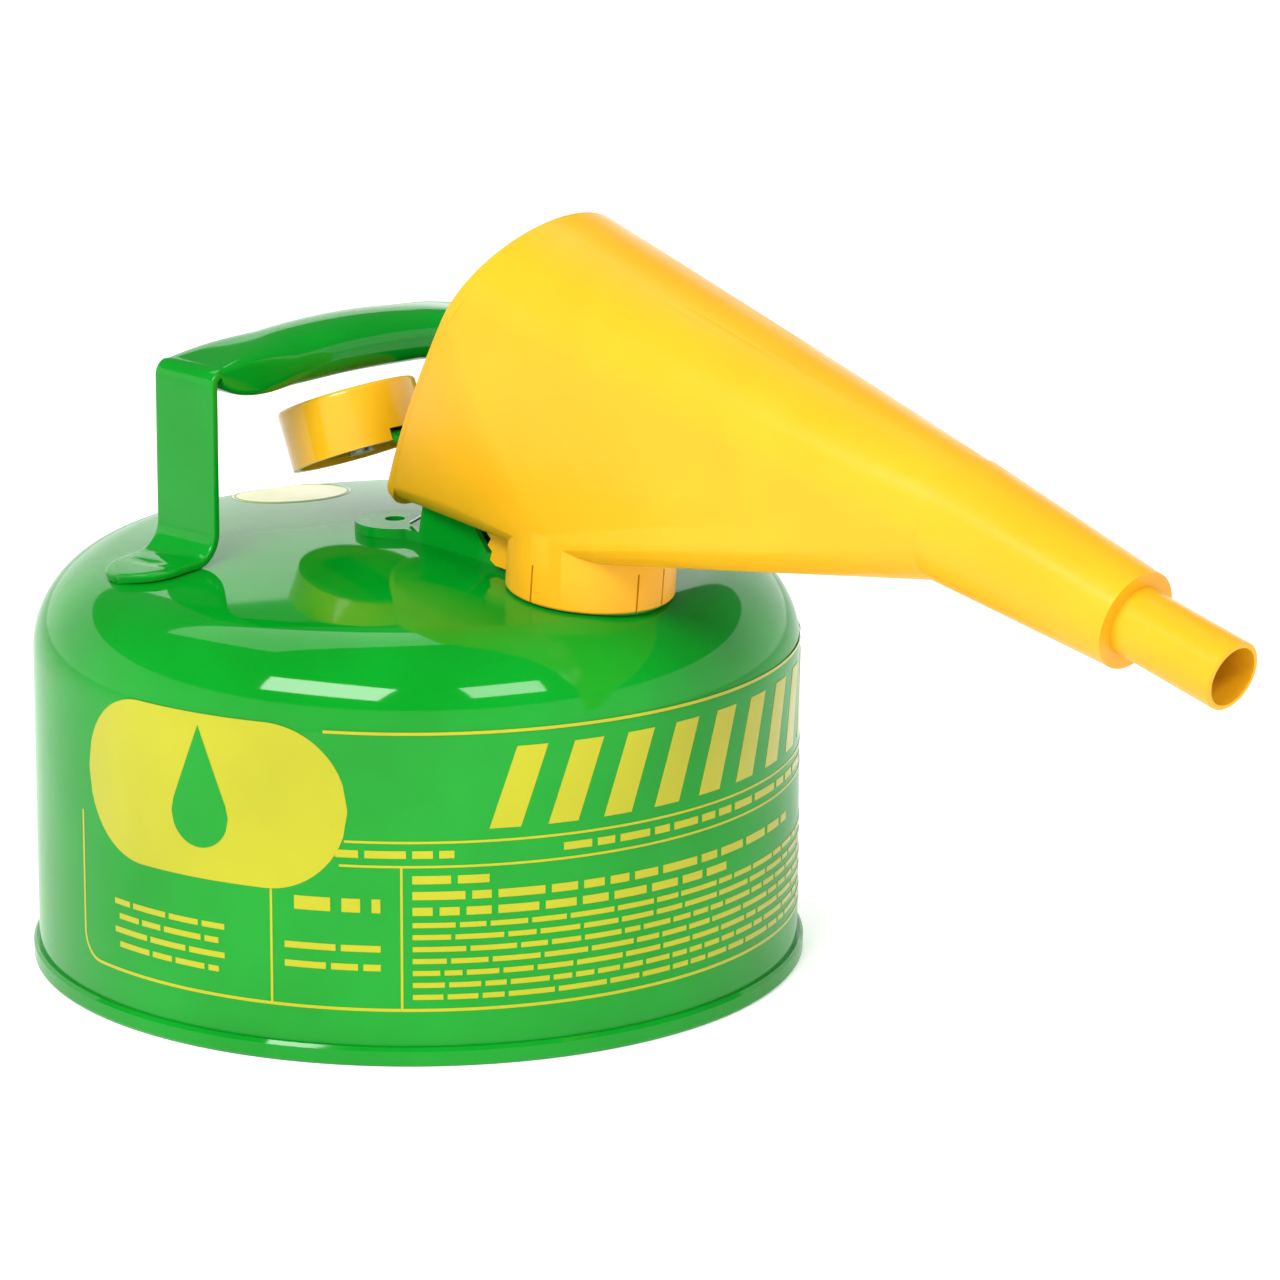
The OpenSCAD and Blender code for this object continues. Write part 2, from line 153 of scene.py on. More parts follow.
def spread(nodes, links, source, low, high):
    """The source value stretched from low to high."""
    node = nodes.new("ShaderNodeMapRange")
    node.inputs["From Min"].default_value = 0.3
    node.inputs["From Max"].default_value = 0.7
    node.inputs["To Min"].default_value = low
    node.inputs["To Max"].default_value = high
    links.new(source, node.inputs["Value"])
    return node.outputs["Result"]


def bump(nodes, links, shader, source, strength, distance):
    """Drives the shader's normal by the source as a relief, distance metres high."""
    node = nodes.new("ShaderNodeBump")
    node.inputs["Strength"].default_value = strength
    node.inputs["Distance"].default_value = distance
    links.new(source, node.inputs["Height"])
    links.new(node.outputs["Normal"], shader.inputs["Normal"])


def surface(name, low, high, roughness, grain, depth, colour_scale=18, stretch=(1, 1, 1), **fixed):
    """A Principled material with colour variation, uneven roughness and a fine relief.

    low and high are the colours it wanders between, roughness its two extremes, grain the relief's
    features per metre and depth the relief's height in metres. fixed sets other sockets by name.
    """
    material, nodes, links = new_material(name)
    shader = nodes["Principled BSDF"]
    links.new(ramp(nodes, links, noise(nodes, links, colour_scale), low, high), shader.inputs["Base Color"])
    wear = noise(nodes, links, 60, 5.0, stretch)
    links.new(spread(nodes, links, wear, *roughness), shader.inputs["Roughness"])
    bump(nodes, links, shader, noise(nodes, links, grain, 2.0, stretch), 0.5, depth)
    for socket, value in fixed.items():
        shader.inputs[socket.replace("_", " ")].default_value = value
    return material


def make_materials():
    """One material per slot of the record."""
    return {
        "green_paint": surface(
            "green_paint", (0.0003, 0.185, 0.008), (0.0006, 0.225, 0.012), (0.30, 0.42), 260, 0.00003,
            Coat_Weight=0.65, Coat_Roughness=0.055, Coat_IOR=1.41, Specular_IOR_Level=0.0,
        ),
        "yellow_plastic": surface(
            "yellow_plastic", (0.64, 0.300, 0.005), (0.68, 0.330, 0.008), (0.34, 0.46), 900, 0.00003,
            Subsurface_Weight=0.10, Subsurface_Radius=(0.010, 0.006, 0.001), Subsurface_Scale=0.3,
            Coat_Weight=0.12, Coat_Roughness=0.2, Specular_IOR_Level=0.15,
        ),
        "yellow_cap": surface(
            "yellow_cap", (0.64, 0.325, 0.006), (0.68, 0.36, 0.009), (0.24, 0.34), 900, 0.00002,
            Coat_Weight=0.5, Coat_Roughness=0.1, Specular_IOR_Level=0.1,
        ),
        "zinc_steel": surface(
            "zinc_steel", (0.50, 0.50, 0.48), (0.64, 0.64, 0.62), (0.24, 0.42), 1400, 0.00002,
            Metallic=1.0,
        ),
        "spring_steel": surface(
            "spring_steel", (0.30, 0.30, 0.31), (0.42, 0.42, 0.43), (0.26, 0.40), 1600, 0.00002,
            Metallic=1.0,
        ),
        "brass": surface(
            "brass", (0.62, 0.43, 0.15), (0.78, 0.58, 0.24), (0.22, 0.38), 1200, 0.00002, Metallic=1.0,
        ),
        "brass_mesh": mesh_material(),
        "gasket_rubber": surface(
            "gasket_rubber", (0.012, 0.012, 0.012), (0.024, 0.024, 0.024), (0.62, 0.80), 1100, 0.00004,
        ),
        "label_vinyl": surface(
            "label_vinyl", (0.52, 0.52, 0.16), (0.58, 0.57, 0.20), (0.30, 0.42), 700, 0.00002,
            Coat_Weight=0.3, Coat_Roughness=0.2,
        ),
        "print_ink": surface(
            "print_ink", (0.30, 0.29, 0.0005), (0.34, 0.33, 0.001), (0.34, 0.46), 800, 0.00002,
            Coat_Weight=0.5, Coat_Roughness=0.08, Specular_IOR_Level=0.1,
        ),
    }


def mesh_material():
    """Woven brass wire: two crossed waves, about 1.2 mm apart, one round the tube and one along it. The
    openings between the wires carry painted shade in dark brown.
    """
    material, nodes, links = new_material("brass_mesh")
    shader = nodes["Principled BSDF"]
    shader.inputs["Metallic"].default_value = 1.0
    coords = nodes.new("ShaderNodeTexCoord")
    waves = []
    for direction in ("X", "Z"):
        wave = nodes.new("ShaderNodeTexWave")
        wave.bands_direction = direction
        wave.inputs["Scale"].default_value = 260
        wave.inputs["Distortion"].default_value = 0.0
        links.new(coords.outputs["Object"], wave.inputs["Vector"])
        waves.append(wave.outputs["Fac"])
    weave = nodes.new("ShaderNodeMath")
    weave.operation = "MAXIMUM"
    links.new(waves[0], weave.inputs[0])
    links.new(waves[1], weave.inputs[1])
    # The low colour is painted shade in the openings between the wires, and the high colour is the brass
    # wire.
    colour = ramp(nodes, links, weave.outputs["Value"], (0.10, 0.07, 0.03), (0.70, 0.52, 0.22))
    links.new(colour, shader.inputs["Base Color"])
    links.new(spread(nodes, links, noise(nodes, links, 80), 0.28, 0.45), shader.inputs["Roughness"])
    bump(nodes, links, shader, weave.outputs["Value"], 0.8, 0.0003)
    return material


materials = make_materials()

# ---- Mesh helpers ----


def add_object(name, data):
    """A new object in the scene that holds this mesh, light or camera."""
    item = bpy.data.objects.new(name, data)
    bpy.context.scene.collection.objects.link(item)
    return item


def smooth(mesh, angle=30):
    """Smooth shading, with edges sharper than angle kept sharp."""
    mesh.shade_smooth()
    mesh.set_sharp_from_angle(angle=math.radians(angle))


def new_piece(name, verts, faces, slot, body, angle=30):
    """A piece from points in metres that rides on a body and takes the look of a material slot."""
    mesh = bpy.data.meshes.new(name)
    mesh.from_pydata([tuple(v) for v in verts], [], faces)
    mesh.validate()
    piece = add_object(name, mesh)
    finish_mesh(mesh, angle)
    place(piece, slot, body)
    return piece


def finish_mesh(mesh, angle=30):
    """Outward normals and smooth shading, with edges sharper than angle kept sharp."""
    bm = bmesh.new()
    bm.from_mesh(mesh)
    bmesh.ops.recalc_face_normals(bm, faces=bm.faces)
    bm.to_mesh(mesh)
    bm.free()
    smooth(mesh, angle)


def place(piece, slot, body):
    """Gives a piece the look of a material slot and lets it ride on a body."""
    piece.data.materials.clear()
    piece.data.materials.append(materials[slot])
    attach(piece, body)


def loft(rings, closed_path=False):
    """Points and faces of a skin over rings of equal count, capped at both ends if the path is open."""
    count = len(rings[0])
    verts = [p for ring in rings for p in ring]
    faces = []
    spans = len(rings) if closed_path else len(rings) - 1
    for i in range(spans):
        a = i * count
        b = ((i + 1) % len(rings)) * count
        for k in range(count):
            n = (k + 1) % count
            faces.append((a + k, a + n, b + n, b + k))
    if not closed_path:
        faces.append(tuple(range(count))[::-1])
        faces.append(tuple((len(rings) - 1) * count + k for k in range(count)))
    return verts, faces


def hull_object(name, points):
    """The convex hull of points given in millimetres, as an object."""
    bm = bmesh.new()
    for p in points:
        bm.verts.new(mm(p))
    bm.verts.ensure_lookup_table()
    bmesh.ops.convex_hull(bm, input=bm.verts)
    loose = [v for v in bm.verts if not v.link_faces]
    bmesh.ops.delete(bm, geom=loose, context="VERTS")
    bmesh.ops.recalc_face_normals(bm, faces=bm.faces)
    mesh = bpy.data.meshes.new(name)
    bm.to_mesh(mesh)
    bm.free()
    return add_object(name, mesh)


def box_object(name, x, y, z):
    """A box from ranges in millimetres."""
    return hull_object(name, [(a, b, c) for a in x for b in y for c in z])


def combine(target, tool, operation):
    """Applies an exact boolean of tool to target, and deletes tool."""
    modifier = target.modifiers.new("combine", "BOOLEAN")
    modifier.operation = operation
    modifier.solver = "EXACT"
    modifier.object = tool
    graph = bpy.context.evaluated_depsgraph_get()
    mesh = bpy.data.meshes.new_from_object(target.evaluated_get(graph))
    target.modifiers.clear()
    target.data = mesh
    bpy.data.objects.remove(tool)


# ---- Local frames of the neck and the funnel ----


class Axes:
    """An origin with a u axis in the XZ plane, v along Y and h square to both."""

    def __init__(self, origin, u, h):
        self.origin = Vector(origin)
        self.u = Vector(u)
        self.h = Vector(h)
        self.v = Vector((0, 1, 0))

    def at(self, u, v, h):
        """The point in millimetres at these distances along the three axes."""
        return self.origin + u * self.u + v * self.v + h * self.h

    def circle(self, radius, h, count=128):
        """Points of a circle round the h axis."""
        return [
            self.at(radius * math.cos(a), radius * math.sin(a), h)
            for a in steps(0, 2 * math.pi, count)[:-1]
        ]


neck = Axes(
    (NECK_X, 0, NECK_Z),
    (math.cos(NECK_TILT), 0, -math.sin(NECK_TILT)),
    (math.sin(NECK_TILT), 0, math.cos(NECK_TILT)),
)
mouth = Axes(
    MOUTH_LOW,
    (math.cos(MOUTH_TILT), 0, math.sin(MOUTH_TILT)),
    (-math.sin(MOUTH_TILT), 0, math.cos(MOUTH_TILT)),
)
snout = Axes(
    SNOUT_START,
    (-math.sin(SNOUT_FALL), 0, -math.cos(SNOUT_FALL)),
    (math.cos(SNOUT_FALL), 0, -math.sin(SNOUT_FALL)),
)


def tube(name, axes, radii, heights):
    """A solid round bar through circles of the radii given, at those heights along axes.h."""
    rings = [[mm(p) for p in axes.circle(r, h)] for r, h in zip(radii, heights)]
    verts, faces = loft(rings)
    mesh = bpy.data.meshes.new(name)
    mesh.from_pydata([tuple(v) for v in verts], [], faces)
    finish_mesh(mesh)
    return add_object(name, mesh)


# ---- Funnel ----

MOUTH_SIDE_R = 400.0
BOWL_EDGE_R = 7.0
BOWL_STEP = 0.4  # how far the bowl's ends stay inside the collar and the snout
BOWL_LAP = 0.5  # how far the bowl reaches into the snout
FLANK_SWELL = 2.2

LIP_OUT = 0.22
LIP_LAP = 0.1
LIP_DEPTH = 3.2
LIP_TOP = 0.3
LIP_ROUND = 0.9
LIP_CHAMFER = (0.15, 0.3)  # inwards and upwards

EAR_Y = (9.6, 11.0)
EAR_OUTLINE = [
    (51, 136.5), (43, 136.8), (41.2, 134.5), (42.8, 133.2), (41.4, 131.2),
    (43.2, 129.6), (42.4, 127.0), (44.6, 125.6), (50, 125.2),
]

TIP_CHAMFER = 0.4
COLLAR_LOW = 0.3  # above the can's top, along the neck
COLLAR_CHAMFER = (0.3, 0.5)  # inwards and upwards
COLLAR_TOP = FLOOR_H + 8
COLLAR_BORE_TOP = FLOOR_H + 6
REAR_OPENING = {"x": (8, 56), "y": (-9.4, 9.4), "z": (134, 146)}
SLIT_AZIMUTHS = (-89, -12, 12, 89)
SLIT_W = 0.7
SLIT_DEPTH = 0.7
SLIT_TOP = FLOOR_H - 1.5


def mouth_outline(count=32):
    """Points (u, v) and outward normals (u, v) round the mouth.

    Each side is a long shallow arc that meets the wide and the narrow end without a corner.
    """
    (wide_u, wide_r), (narrow_u, narrow_r) = MOUTH_WIDE, MOUTH_NARROW
    to_wide, to_narrow, apart = MOUTH_SIDE_R - wide_r, MOUTH_SIDE_R - narrow_r, wide_u - narrow_u
    side_u = narrow_u + (to_narrow ** 2 - to_wide ** 2 + apart ** 2) / (2 * apart)
    side_v = math.sqrt(to_narrow ** 2 - (side_u - narrow_u) ** 2)
    wide_end = math.atan2(side_v, wide_u - side_u)
    narrow_end = math.atan2(side_v, narrow_u - side_u)
    turn = 2 * math.pi
    outline = []
    for centre_u, centre_v, radius, start, end in (
        (wide_u, 0, wide_r, -wide_end, wide_end),
        (side_u, -side_v, MOUTH_SIDE_R, wide_end, narrow_end),
        (narrow_u, 0, narrow_r, narrow_end, turn - narrow_end),
        (side_u, side_v, MOUTH_SIDE_R, turn - narrow_end, turn - wide_end),
    ):
        for a in steps(start, end, count)[:-1]:
            normal = (math.cos(a), math.sin(a))
            outline.append(((centre_u + radius * normal[0], centre_v + radius * normal[1]), normal))
    return outline


def bowl(name, inset, past):
    """The bowl's outside (inset 0) or its hollow: a hull of the mouth, the floor and the snout's start.

    Its floor's edge is rounded, and its flanks swell a little between the mouth and the far edges.
    past is how far it reaches beyond the plane of the mouth.
    """
    edge = BOWL_EDGE_R - inset
    floor_h = FLOOR_H + inset
    floor_r = COLLAR_R - BOWL_STEP - inset
    snout_r = SNOUT_R[0] - BOWL_STEP - inset
    points = []
    for p, n in mouth_outline():
        rim = mouth.at(p[0] - inset * n[0], p[1] - inset * n[1], past)
        floor_edge = neck.at(floor_r * n[0], floor_r * n[1], floor_h + edge)
        snout_edge = snout.at(-snout_r * n[0], snout_r * n[1], BOWL_LAP)
        points.append(rim)
        for far in (floor_edge, snout_edge):
            for t in steps(0, 1, 8)[1:-1]:
                swell = FLANK_SWELL * 4 * t * (1 - t) * n[1] * abs(n[1])
                points.append(rim.lerp(far, t) + swell * mouth.v)
    for a in steps(0, math.pi / 2, 6):
        radius = floor_r - edge * (1 - math.sin(a))
        points += neck.circle(radius, floor_h + edge * (1 - math.cos(a)))
    points += snout.circle(snout_r, BOWL_LAP)
    return hull_object(name, points)


def funnel_lip():
    """The mouth's rim: a bead that stands a little proud of the bowl's wall, with a round edge."""
    inner = -FUNNEL_WALL - LIP_LAP
    low = -LIP_DEPTH
    section = [(inner, low), (LIP_OUT - LIP_CHAMFER[0], low), (LIP_OUT, low + LIP_CHAMFER[1])]
    middle = (LIP_OUT + inner) / 2
    half = (LIP_OUT - inner) / 2
    for a in steps(0, math.pi, 8):
        section.append((middle + half * math.cos(a), LIP_TOP - LIP_ROUND + LIP_ROUND * math.sin(a)))
    rings = [
        [mm(mouth.at(p[0] + d * n[0], p[1] + d * n[1], h)) for d, h in section]
        for p, n in mouth_outline()
    ]
    verts, faces = loft(rings, closed_path=True)
    new_piece("funnel_lip", verts, faces, "yellow_plastic", "funnel", 40)


def funnel_ears():
    """Two snap ears behind the collar, one each side of the bracket, with a notched rear edge."""
    for side, word in ((-1, "right"), (1, "left")):
        rings = [[mm((x, side * y, z)) for x, z in EAR_OUTLINE] for y in EAR_Y]
        verts, faces = loft(rings)
        new_piece("funnel_ear_" + word, verts, faces, "yellow_plastic", "funnel", 20)


def slit_cutter(azimuth):
    """The solid that cuts one upright slit into the collar's outside."""
    a = math.radians(azimuth)
    points = []
    for r in (COLLAR_R - SLIT_DEPTH, COLLAR_R + 1):
        for side in (-SLIT_W / 2, SLIT_W / 2):
            u = r * math.cos(a) - side * math.sin(a)
            v = r * math.sin(a) + side * math.cos(a)
            points += [neck.at(u, v, h) for h in (0, SLIT_TOP)]
    return hull_object("slit_cutter", points)


def funnel():
    """The bowl with its snout, stepped tip and collar as one moulding, then its hollows cut out."""
    tip_end = SNOUT_LEN + TIP_LEN
    body = bowl("funnel_shell", 0, 0)
    collar_radii = (COLLAR_R - COLLAR_CHAMFER[0], COLLAR_R, COLLAR_R)
    tip_radii = (TIP_R, TIP_R, TIP_R - TIP_CHAMFER)
    for part in (
        tube("snout", snout, SNOUT_R, (0, SNOUT_LEN)),
        tube("tip", snout, tip_radii, (SNOUT_LEN - 1, tip_end - TIP_CHAMFER, tip_end)),
        tube("collar", neck, collar_radii, (COLLAR_LOW, COLLAR_LOW + COLLAR_CHAMFER[1], COLLAR_TOP)),
    ):
        combine(body, part, "UNION")
    # The cutters reach a little past the faces that they open.
    for part in (
        bowl("bowl_hollow", FUNNEL_WALL, 1),
        tube("snout_hollow", snout, [r - FUNNEL_WALL for r in SNOUT_R], (0, SNOUT_LEN - FUNNEL_WALL)),
        tube("tip_bore", snout, (TIP_BORE_R, TIP_BORE_R), (SNOUT_LEN - 4, tip_end + 2)),
        tube("collar_bore", neck, (STEP_R + COLLAR_GAP,) * 2, (-2, COLLAR_BORE_TOP)),
        box_object("rear_opening", REAR_OPENING["x"], REAR_OPENING["y"], REAR_OPENING["z"]),
        *(slit_cutter(azimuth) for azimuth in SLIT_AZIMUTHS),
    ):
        combine(body, part, "DIFFERENCE")
    finish_mesh(body.data, 28)
    place(body, "yellow_plastic", "funnel")
    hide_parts("funnel")
    funnel_lip()
    funnel_ears()


funnel()

# ---- Can shell ----

SHELL_TURNS = 256
ARC_STEPS = 40
WALL_RINGS = (SHEET_T, 40, 70)
POLE_R = 0.4


def shell_profile(inset):
    """(radius, height) from the wall's foot over the shoulder to the middle of the crowned top."""
    edge = math.acos(SHOULDER_R / (CROWN_R - KNUCKLE_R))
    knuckle_r = KNUCKLE_R - inset
    crown_r = CROWN_R - inset
    points = [(WALL_R - inset, z) for z in WALL_RINGS]
    for a in steps(0, edge, ARC_STEPS):
        points.append((SHOULDER_R + knuckle_r * math.cos(a), WALL_TOP + knuckle_r * math.sin(a)))
    for a in steps(edge, math.pi / 2, ARC_STEPS)[1:-1]:
        points.append((crown_r * math.cos(a), CROWN_Z + crown_r * math.sin(a)))
    points.append((POLE_R, CROWN_Z + CROWN_R - inset))
    return points


def can_shell():
    """The sheet-metal can as one finely divided turned surface, so that its gloss stays clean."""
    section = shell_profile(SHEET_T)[::-1] + shell_profile(0)
    turns = steps(0, 2 * math.pi, SHELL_TURNS)[:-1]
    rings = [[mm((r * math.cos(a), r * math.sin(a), z)) for a in turns] for r, z in section]
    shell = new_piece("can_shell", *loft(rings), "green_paint", "can", 30)
    combine(shell, tube("neck_hole", neck, (NECK_R, NECK_R), (-8, 4)), "DIFFERENCE")
    finish_mesh(shell.data, 30)
    place(shell, "green_paint", "can")
    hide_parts("can_body")


can_shell()

# ---- Handle ----

LEG_DROP = 7.2
FOOT_BEND_R = 9.0
FOOT_GAP = 0.1
GRIP_CORNER_R = 3.5
GRIP_Z = WALL_TOP + 60  # above this the strap is the grip, below it a leg or a foot
GRIP_END_Y = LEG_Y - 4  # where the grip's swelling has died away
OVAL_TO_STRAP = (25, 58)  # the grip's section turns from oval to flat strap between these distances
OVAL_POWER, STRAP_POWER = 2.3, 7.0
FOOT_TIP_W = 1.6
FOOT_FIT = (62, 70)  # the foot takes up the can's curve between these distances from the middle
FOOT_MARKS = ((75, 3.2, 0.7), (66.5, 2.2, 0.5))  # distance from the middle, radius and depth


def foot_line(x, y):
    """Height of a foot's centreline, which follows the can's top."""
    return top_z(math.hypot(x, y)) + STRAP_T / 2 + FOOT_GAP


def grip_line(y):
    """Height of the strap's centreline above the legs: a shallow arch."""
    return GRIP_TOP - STRAP_T / 2 - LEG_DROP * (y / LEG_Y) ** 2


def handle_path():
    """Half of the strap's centreline, as (y, z) from a foot's tip to the grip's middle."""
    leg = LEG_Y - STRAP_T / 2
    bend_y = leg + FOOT_BEND_R
    foot_z = foot_line(HANDLE_X, bend_y)
    path = [(y, foot_line(HANDLE_X, y)) for y in steps(FOOT_Y, bend_y, 22)]
    for a in steps(0, math.pi / 2, 10)[1:]:
        path.append((bend_y - FOOT_BEND_R * math.sin(a), foot_z + FOOT_BEND_R * (1 - math.cos(a))))
    start = leg - GRIP_CORNER_R
    corner_z = grip_line(start) - GRIP_CORNER_R
    for z in steps(path[-1][1], corner_z, 12)[1:]:
        path.append((leg, z))
    for a in steps(0, math.pi / 2, 10)[1:]:
        path.append((start + GRIP_CORNER_R * math.cos(a), corner_z + GRIP_CORNER_R * math.sin(a)))
    path += [(y, grip_line(y)) for y in steps(start, 0, 40)[1:]]
    return path


def rounded(value, reach, power):
    """A cosine or sine drawn towards the sides of its box: a low power gives squarer corners."""
    return reach * math.copysign(abs(value) ** power, value)


def handle_section(y, z, normal, count=48):
    """One ring of the strap. Near the middle it swells downwards into the oval grip."""
    raised = z > GRIP_Z
    swell = math.sqrt(max(0.0, 1 - abs(y / GRIP_END_Y) ** 3)) if raised else 0.0
    roundness = 1 - smoothstep(*OVAL_TO_STRAP, abs(y)) if raised else 0.0
    power = 2 / (STRAP_POWER + (OVAL_POWER - STRAP_POWER) * roundness)
    half_t = STRAP_T / 2 + swell * (GRIP_T - STRAP_T) / 2
    drop = half_t - STRAP_T / 2
    half_w = STRAP_W / 2
    past_tip_centre = abs(y) - (FOOT_Y - half_w)
    if past_tip_centre > 0:
        half_w = max(FOOT_TIP_W / 2, math.sqrt(max(0.0, half_w ** 2 - past_tip_centre ** 2)))
    foot = smoothstep(*FOOT_FIT, abs(y)) if z < GRIP_Z else 0.0
    ring = []
    for a in steps(0, 2 * math.pi, count)[:-1]:
        across = rounded(math.cos(a), half_w, power)
        through = rounded(math.sin(a), half_t, power) - drop
        x = HANDLE_X + across
        py = y + through * normal[0]
        pz = z + through * normal[1]
        pz += foot * (foot_line(x, py) + through - pz)
        for mark_y, mark_r, depth in FOOT_MARKS:
            near = math.hypot(across, py - mark_y)
            if near < mark_r and through > 0 and z < GRIP_Z:
                pz -= depth * 0.5 * (1 + math.cos(math.pi * near / mark_r))
        ring.append((x, py, pz))
    return ring


def handle():
    """The strap: the left half along its path, and the right half as its mirror."""
    path = handle_path()
    rings = []
    for i, (y, z) in enumerate(path):
        before, after = path[max(i - 1, 0)], path[min(i + 1, len(path) - 1)]
        run, rise = after[0] - before[0], after[1] - before[1]
        length = math.hypot(run, rise)
        rings.append(handle_section(y, z, (rise / length, -run / length)))
    left = [[mm(p) for p in ring] for ring in rings]
    right = [[mm((x, -y, z)) for x, y, z in ring] for ring in rings[:-1]]
    verts, faces = loft(left + right[::-1])
    piece = new_piece("handle_strap", verts, faces, "green_paint", "can", 50)
    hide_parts("handle")


handle()

# ---- Printed wall ----

PRINT_T = 0.10
PRINT_LIFT = 0.02


def wall_point(s, z, lift):
    """The point at arc length s from +X round the wall, at height z, lift mm off the paint."""
    a = s / WALL_R
    r = WALL_R + lift
    return mm((r * math.cos(a), r * math.sin(a), z))


def arc_length(azimuth):
    """Distance round the wall from +X to a direction in degrees."""
    return math.radians(azimuth) * WALL_R


def ribbon(low, high, base=PRINT_LIFT):
    """Points and faces of a thin printed ribbon between two lists of (s, z) on the wall."""
    rings = []
    for a, b in zip(low, high):
        rings.append([
            wall_point(*a, base), wall_point(*b, base),
            wall_point(*b, base + PRINT_T), wall_point(*a, base + PRINT_T),
        ])
    return loft(rings)


def bar(s0, s1, z0, z1):
    """An upright rectangle of ink."""
    count = max(1, math.ceil(abs(s1 - s0) / 2.5))
    stations = steps(s0, s1, count)
    return ribbon([(s, z0) for s in stations], [(s, z1) for s in stations])


def slanted_bar(s0, s1, z0, z1, lean):
    """A parallelogram of ink whose top is moved along the wall by lean."""
    count = 6
    low = [(s, z0) for s in steps(s0, s1, count)]
    high = [(s + lean, z1) for s in steps(s0, s1, count)]
    return ribbon(low, high)


def line(points, width):
    """A printed rule of even width along points (s, z)."""
    low, high = [], []
    for i, (s, z) in enumerate(points):
        before, after = points[max(i - 1, 0)], points[min(i + 1, len(points) - 1)]
        ds, dz = after[0] - before[0], after[1] - before[1]
        length = math.hypot(ds, dz)
        n = (-dz / length * width / 2, ds / length * width / 2)
        low.append((s - n[0], z - n[1]))
        high.append((s + n[0], z + n[1]))
    return ribbon(low, high)


def gather(parts):
    """Several (points, faces) as one."""
    verts, faces = [], []
    for v, f in parts:
        faces += [tuple(i + len(verts) for i in face) for face in f]
        verts += v
    return verts, faces


FRAME_LOW, FRAME_HIGH = 16.2, 96.3
FRAME_END = arc_length(101)
FRAME_CORNER = 8.0
FRAME_LINE_W = 0.9
RULE_W = 0.7
BAND_LOW, BAND_HIGH = 58.0, 65.0
BADGE = {"s": arc_length(-76), "z": 73.7, "half_w": 45.0, "half_h": 24.0}
COLUMN_A = arc_length(-64.5)
COLUMN_B = arc_length(-45.5)
BAR_LENGTHS = (5, 15)
SHORTEST_BAR = 2
GAP_PER_HEIGHT = 0.8


def corner_arc(s, z, start, end):
    """Points of one of the frame's rounded corners, centred on (s, z), without the first."""
    return [
        (s + FRAME_CORNER * math.cos(a), z + FRAME_CORNER * math.sin(a))
        for a in steps(start, end, 8)[1:]
    ]


def frame_line():
    """The long rounded frame, which the badge interrupts at its upper left corner."""
    inner = FRAME_END - FRAME_CORNER
    low, high = FRAME_LOW + FRAME_CORNER, FRAME_HIGH - FRAME_CORNER
    start = BADGE["s"] + BADGE["half_w"] * 0.85
    points = [(start, FRAME_HIGH)]
    points += [(s, FRAME_HIGH) for s in steps(start + 2, inner, 100)]
    points += corner_arc(inner, high, math.pi / 2, 0)
    points += [(FRAME_END, z) for z in steps(high, low, 8)[1:]]
    points += corner_arc(inner, low, 0, -math.pi / 2)
    points += [(s, FRAME_LOW) for s in steps(inner, -inner, 150)[1:]]
    points += corner_arc(-inner, low, -math.pi / 2, -math.pi)
    points += [(-FRAME_END, z) for z in steps(low, BADGE["z"] - 14, 6)[1:]]
    return line(points, FRAME_LINE_W)


def rules():
    """The band's two rules and the two column dividers."""
    start = BADGE["s"] + BADGE["half_w"] - 1
    parts = [
        line([(s, BAND_HIGH) for s in steps(start, FRAME_END, 120)], RULE_W),
        line([(s, BAND_LOW) for s in steps(start - 1.5, FRAME_END, 120)], RULE_W),
        line([(COLUMN_A, z) for z in steps(FRAME_LOW, BADGE["z"] - BADGE["half_h"], 4)], RULE_W),
        line([(COLUMN_B, z) for z in steps(FRAME_LOW, BAND_LOW, 4)], RULE_W),
    ]
    return gather(parts)


def badge():
    """A plain rounded badge, without words."""
    radius = BADGE["half_h"]
    low, high = [], []
    for s in steps(-BADGE["half_w"], BADGE["half_w"], 72):
        past = max(0.0, abs(s) - (BADGE["half_w"] - radius))
        half = max(0.4, math.sqrt(max(0.0, radius ** 2 - past ** 2)))
        low.append((BADGE["s"] + s, BADGE["z"] - half))
        high.append((BADGE["s"] + s, BADGE["z"] + half))
    return ribbon(low, high)


def droplet():
    """A plain drop in the can's own green, on the badge: a circle below, straight flanks above."""
    radius, tip = 9.5, 26.0
    centre = BADGE["z"] - 5.5
    touch = math.asin(radius / tip)
    low, high = [], []
    for s in steps(-radius, radius, 28):
        round_half = math.sqrt(max(0.0, radius ** 2 - s ** 2))
        peak = round_half
        if abs(s) < radius * math.cos(touch):
            peak = tip - abs(s) / math.tan(touch)
        low.append((BADGE["s"] + s, centre - max(0.05, round_half)))
        high.append((BADGE["s"] + s, centre + max(0.05, peak)))
    return ribbon(low, high, PRINT_LIFT + PRINT_T)


def stripes():
    """A generic run of slanted blocks where the can carries its large lettering."""
    width, pitch, lean = 9.0, 17.0, 8.0
    low, high = BAND_HIGH + 3.5, FRAME_HIGH - 4.5
    start = arc_length(-33)
    count = int((arc_length(88) - start) / pitch)
    starts = [start + i * pitch for i in range(count)]
    return gather([slanted_bar(s, s + width, low, high, lean) for s in starts])


def row_of_bars(s0, s1, z, height, rng):
    """One row of short plain bars with even gaps, in place of a line of small print."""
    parts = []
    s = s0
    while s < s1 - SHORTEST_BAR:
        length = min(rng.uniform(*BAR_LENGTHS), s1 - s)
        parts.append(bar(s, s + length, z - height / 2, z + height / 2))
        s += length + height * GAP_PER_HEIGHT
    return parts


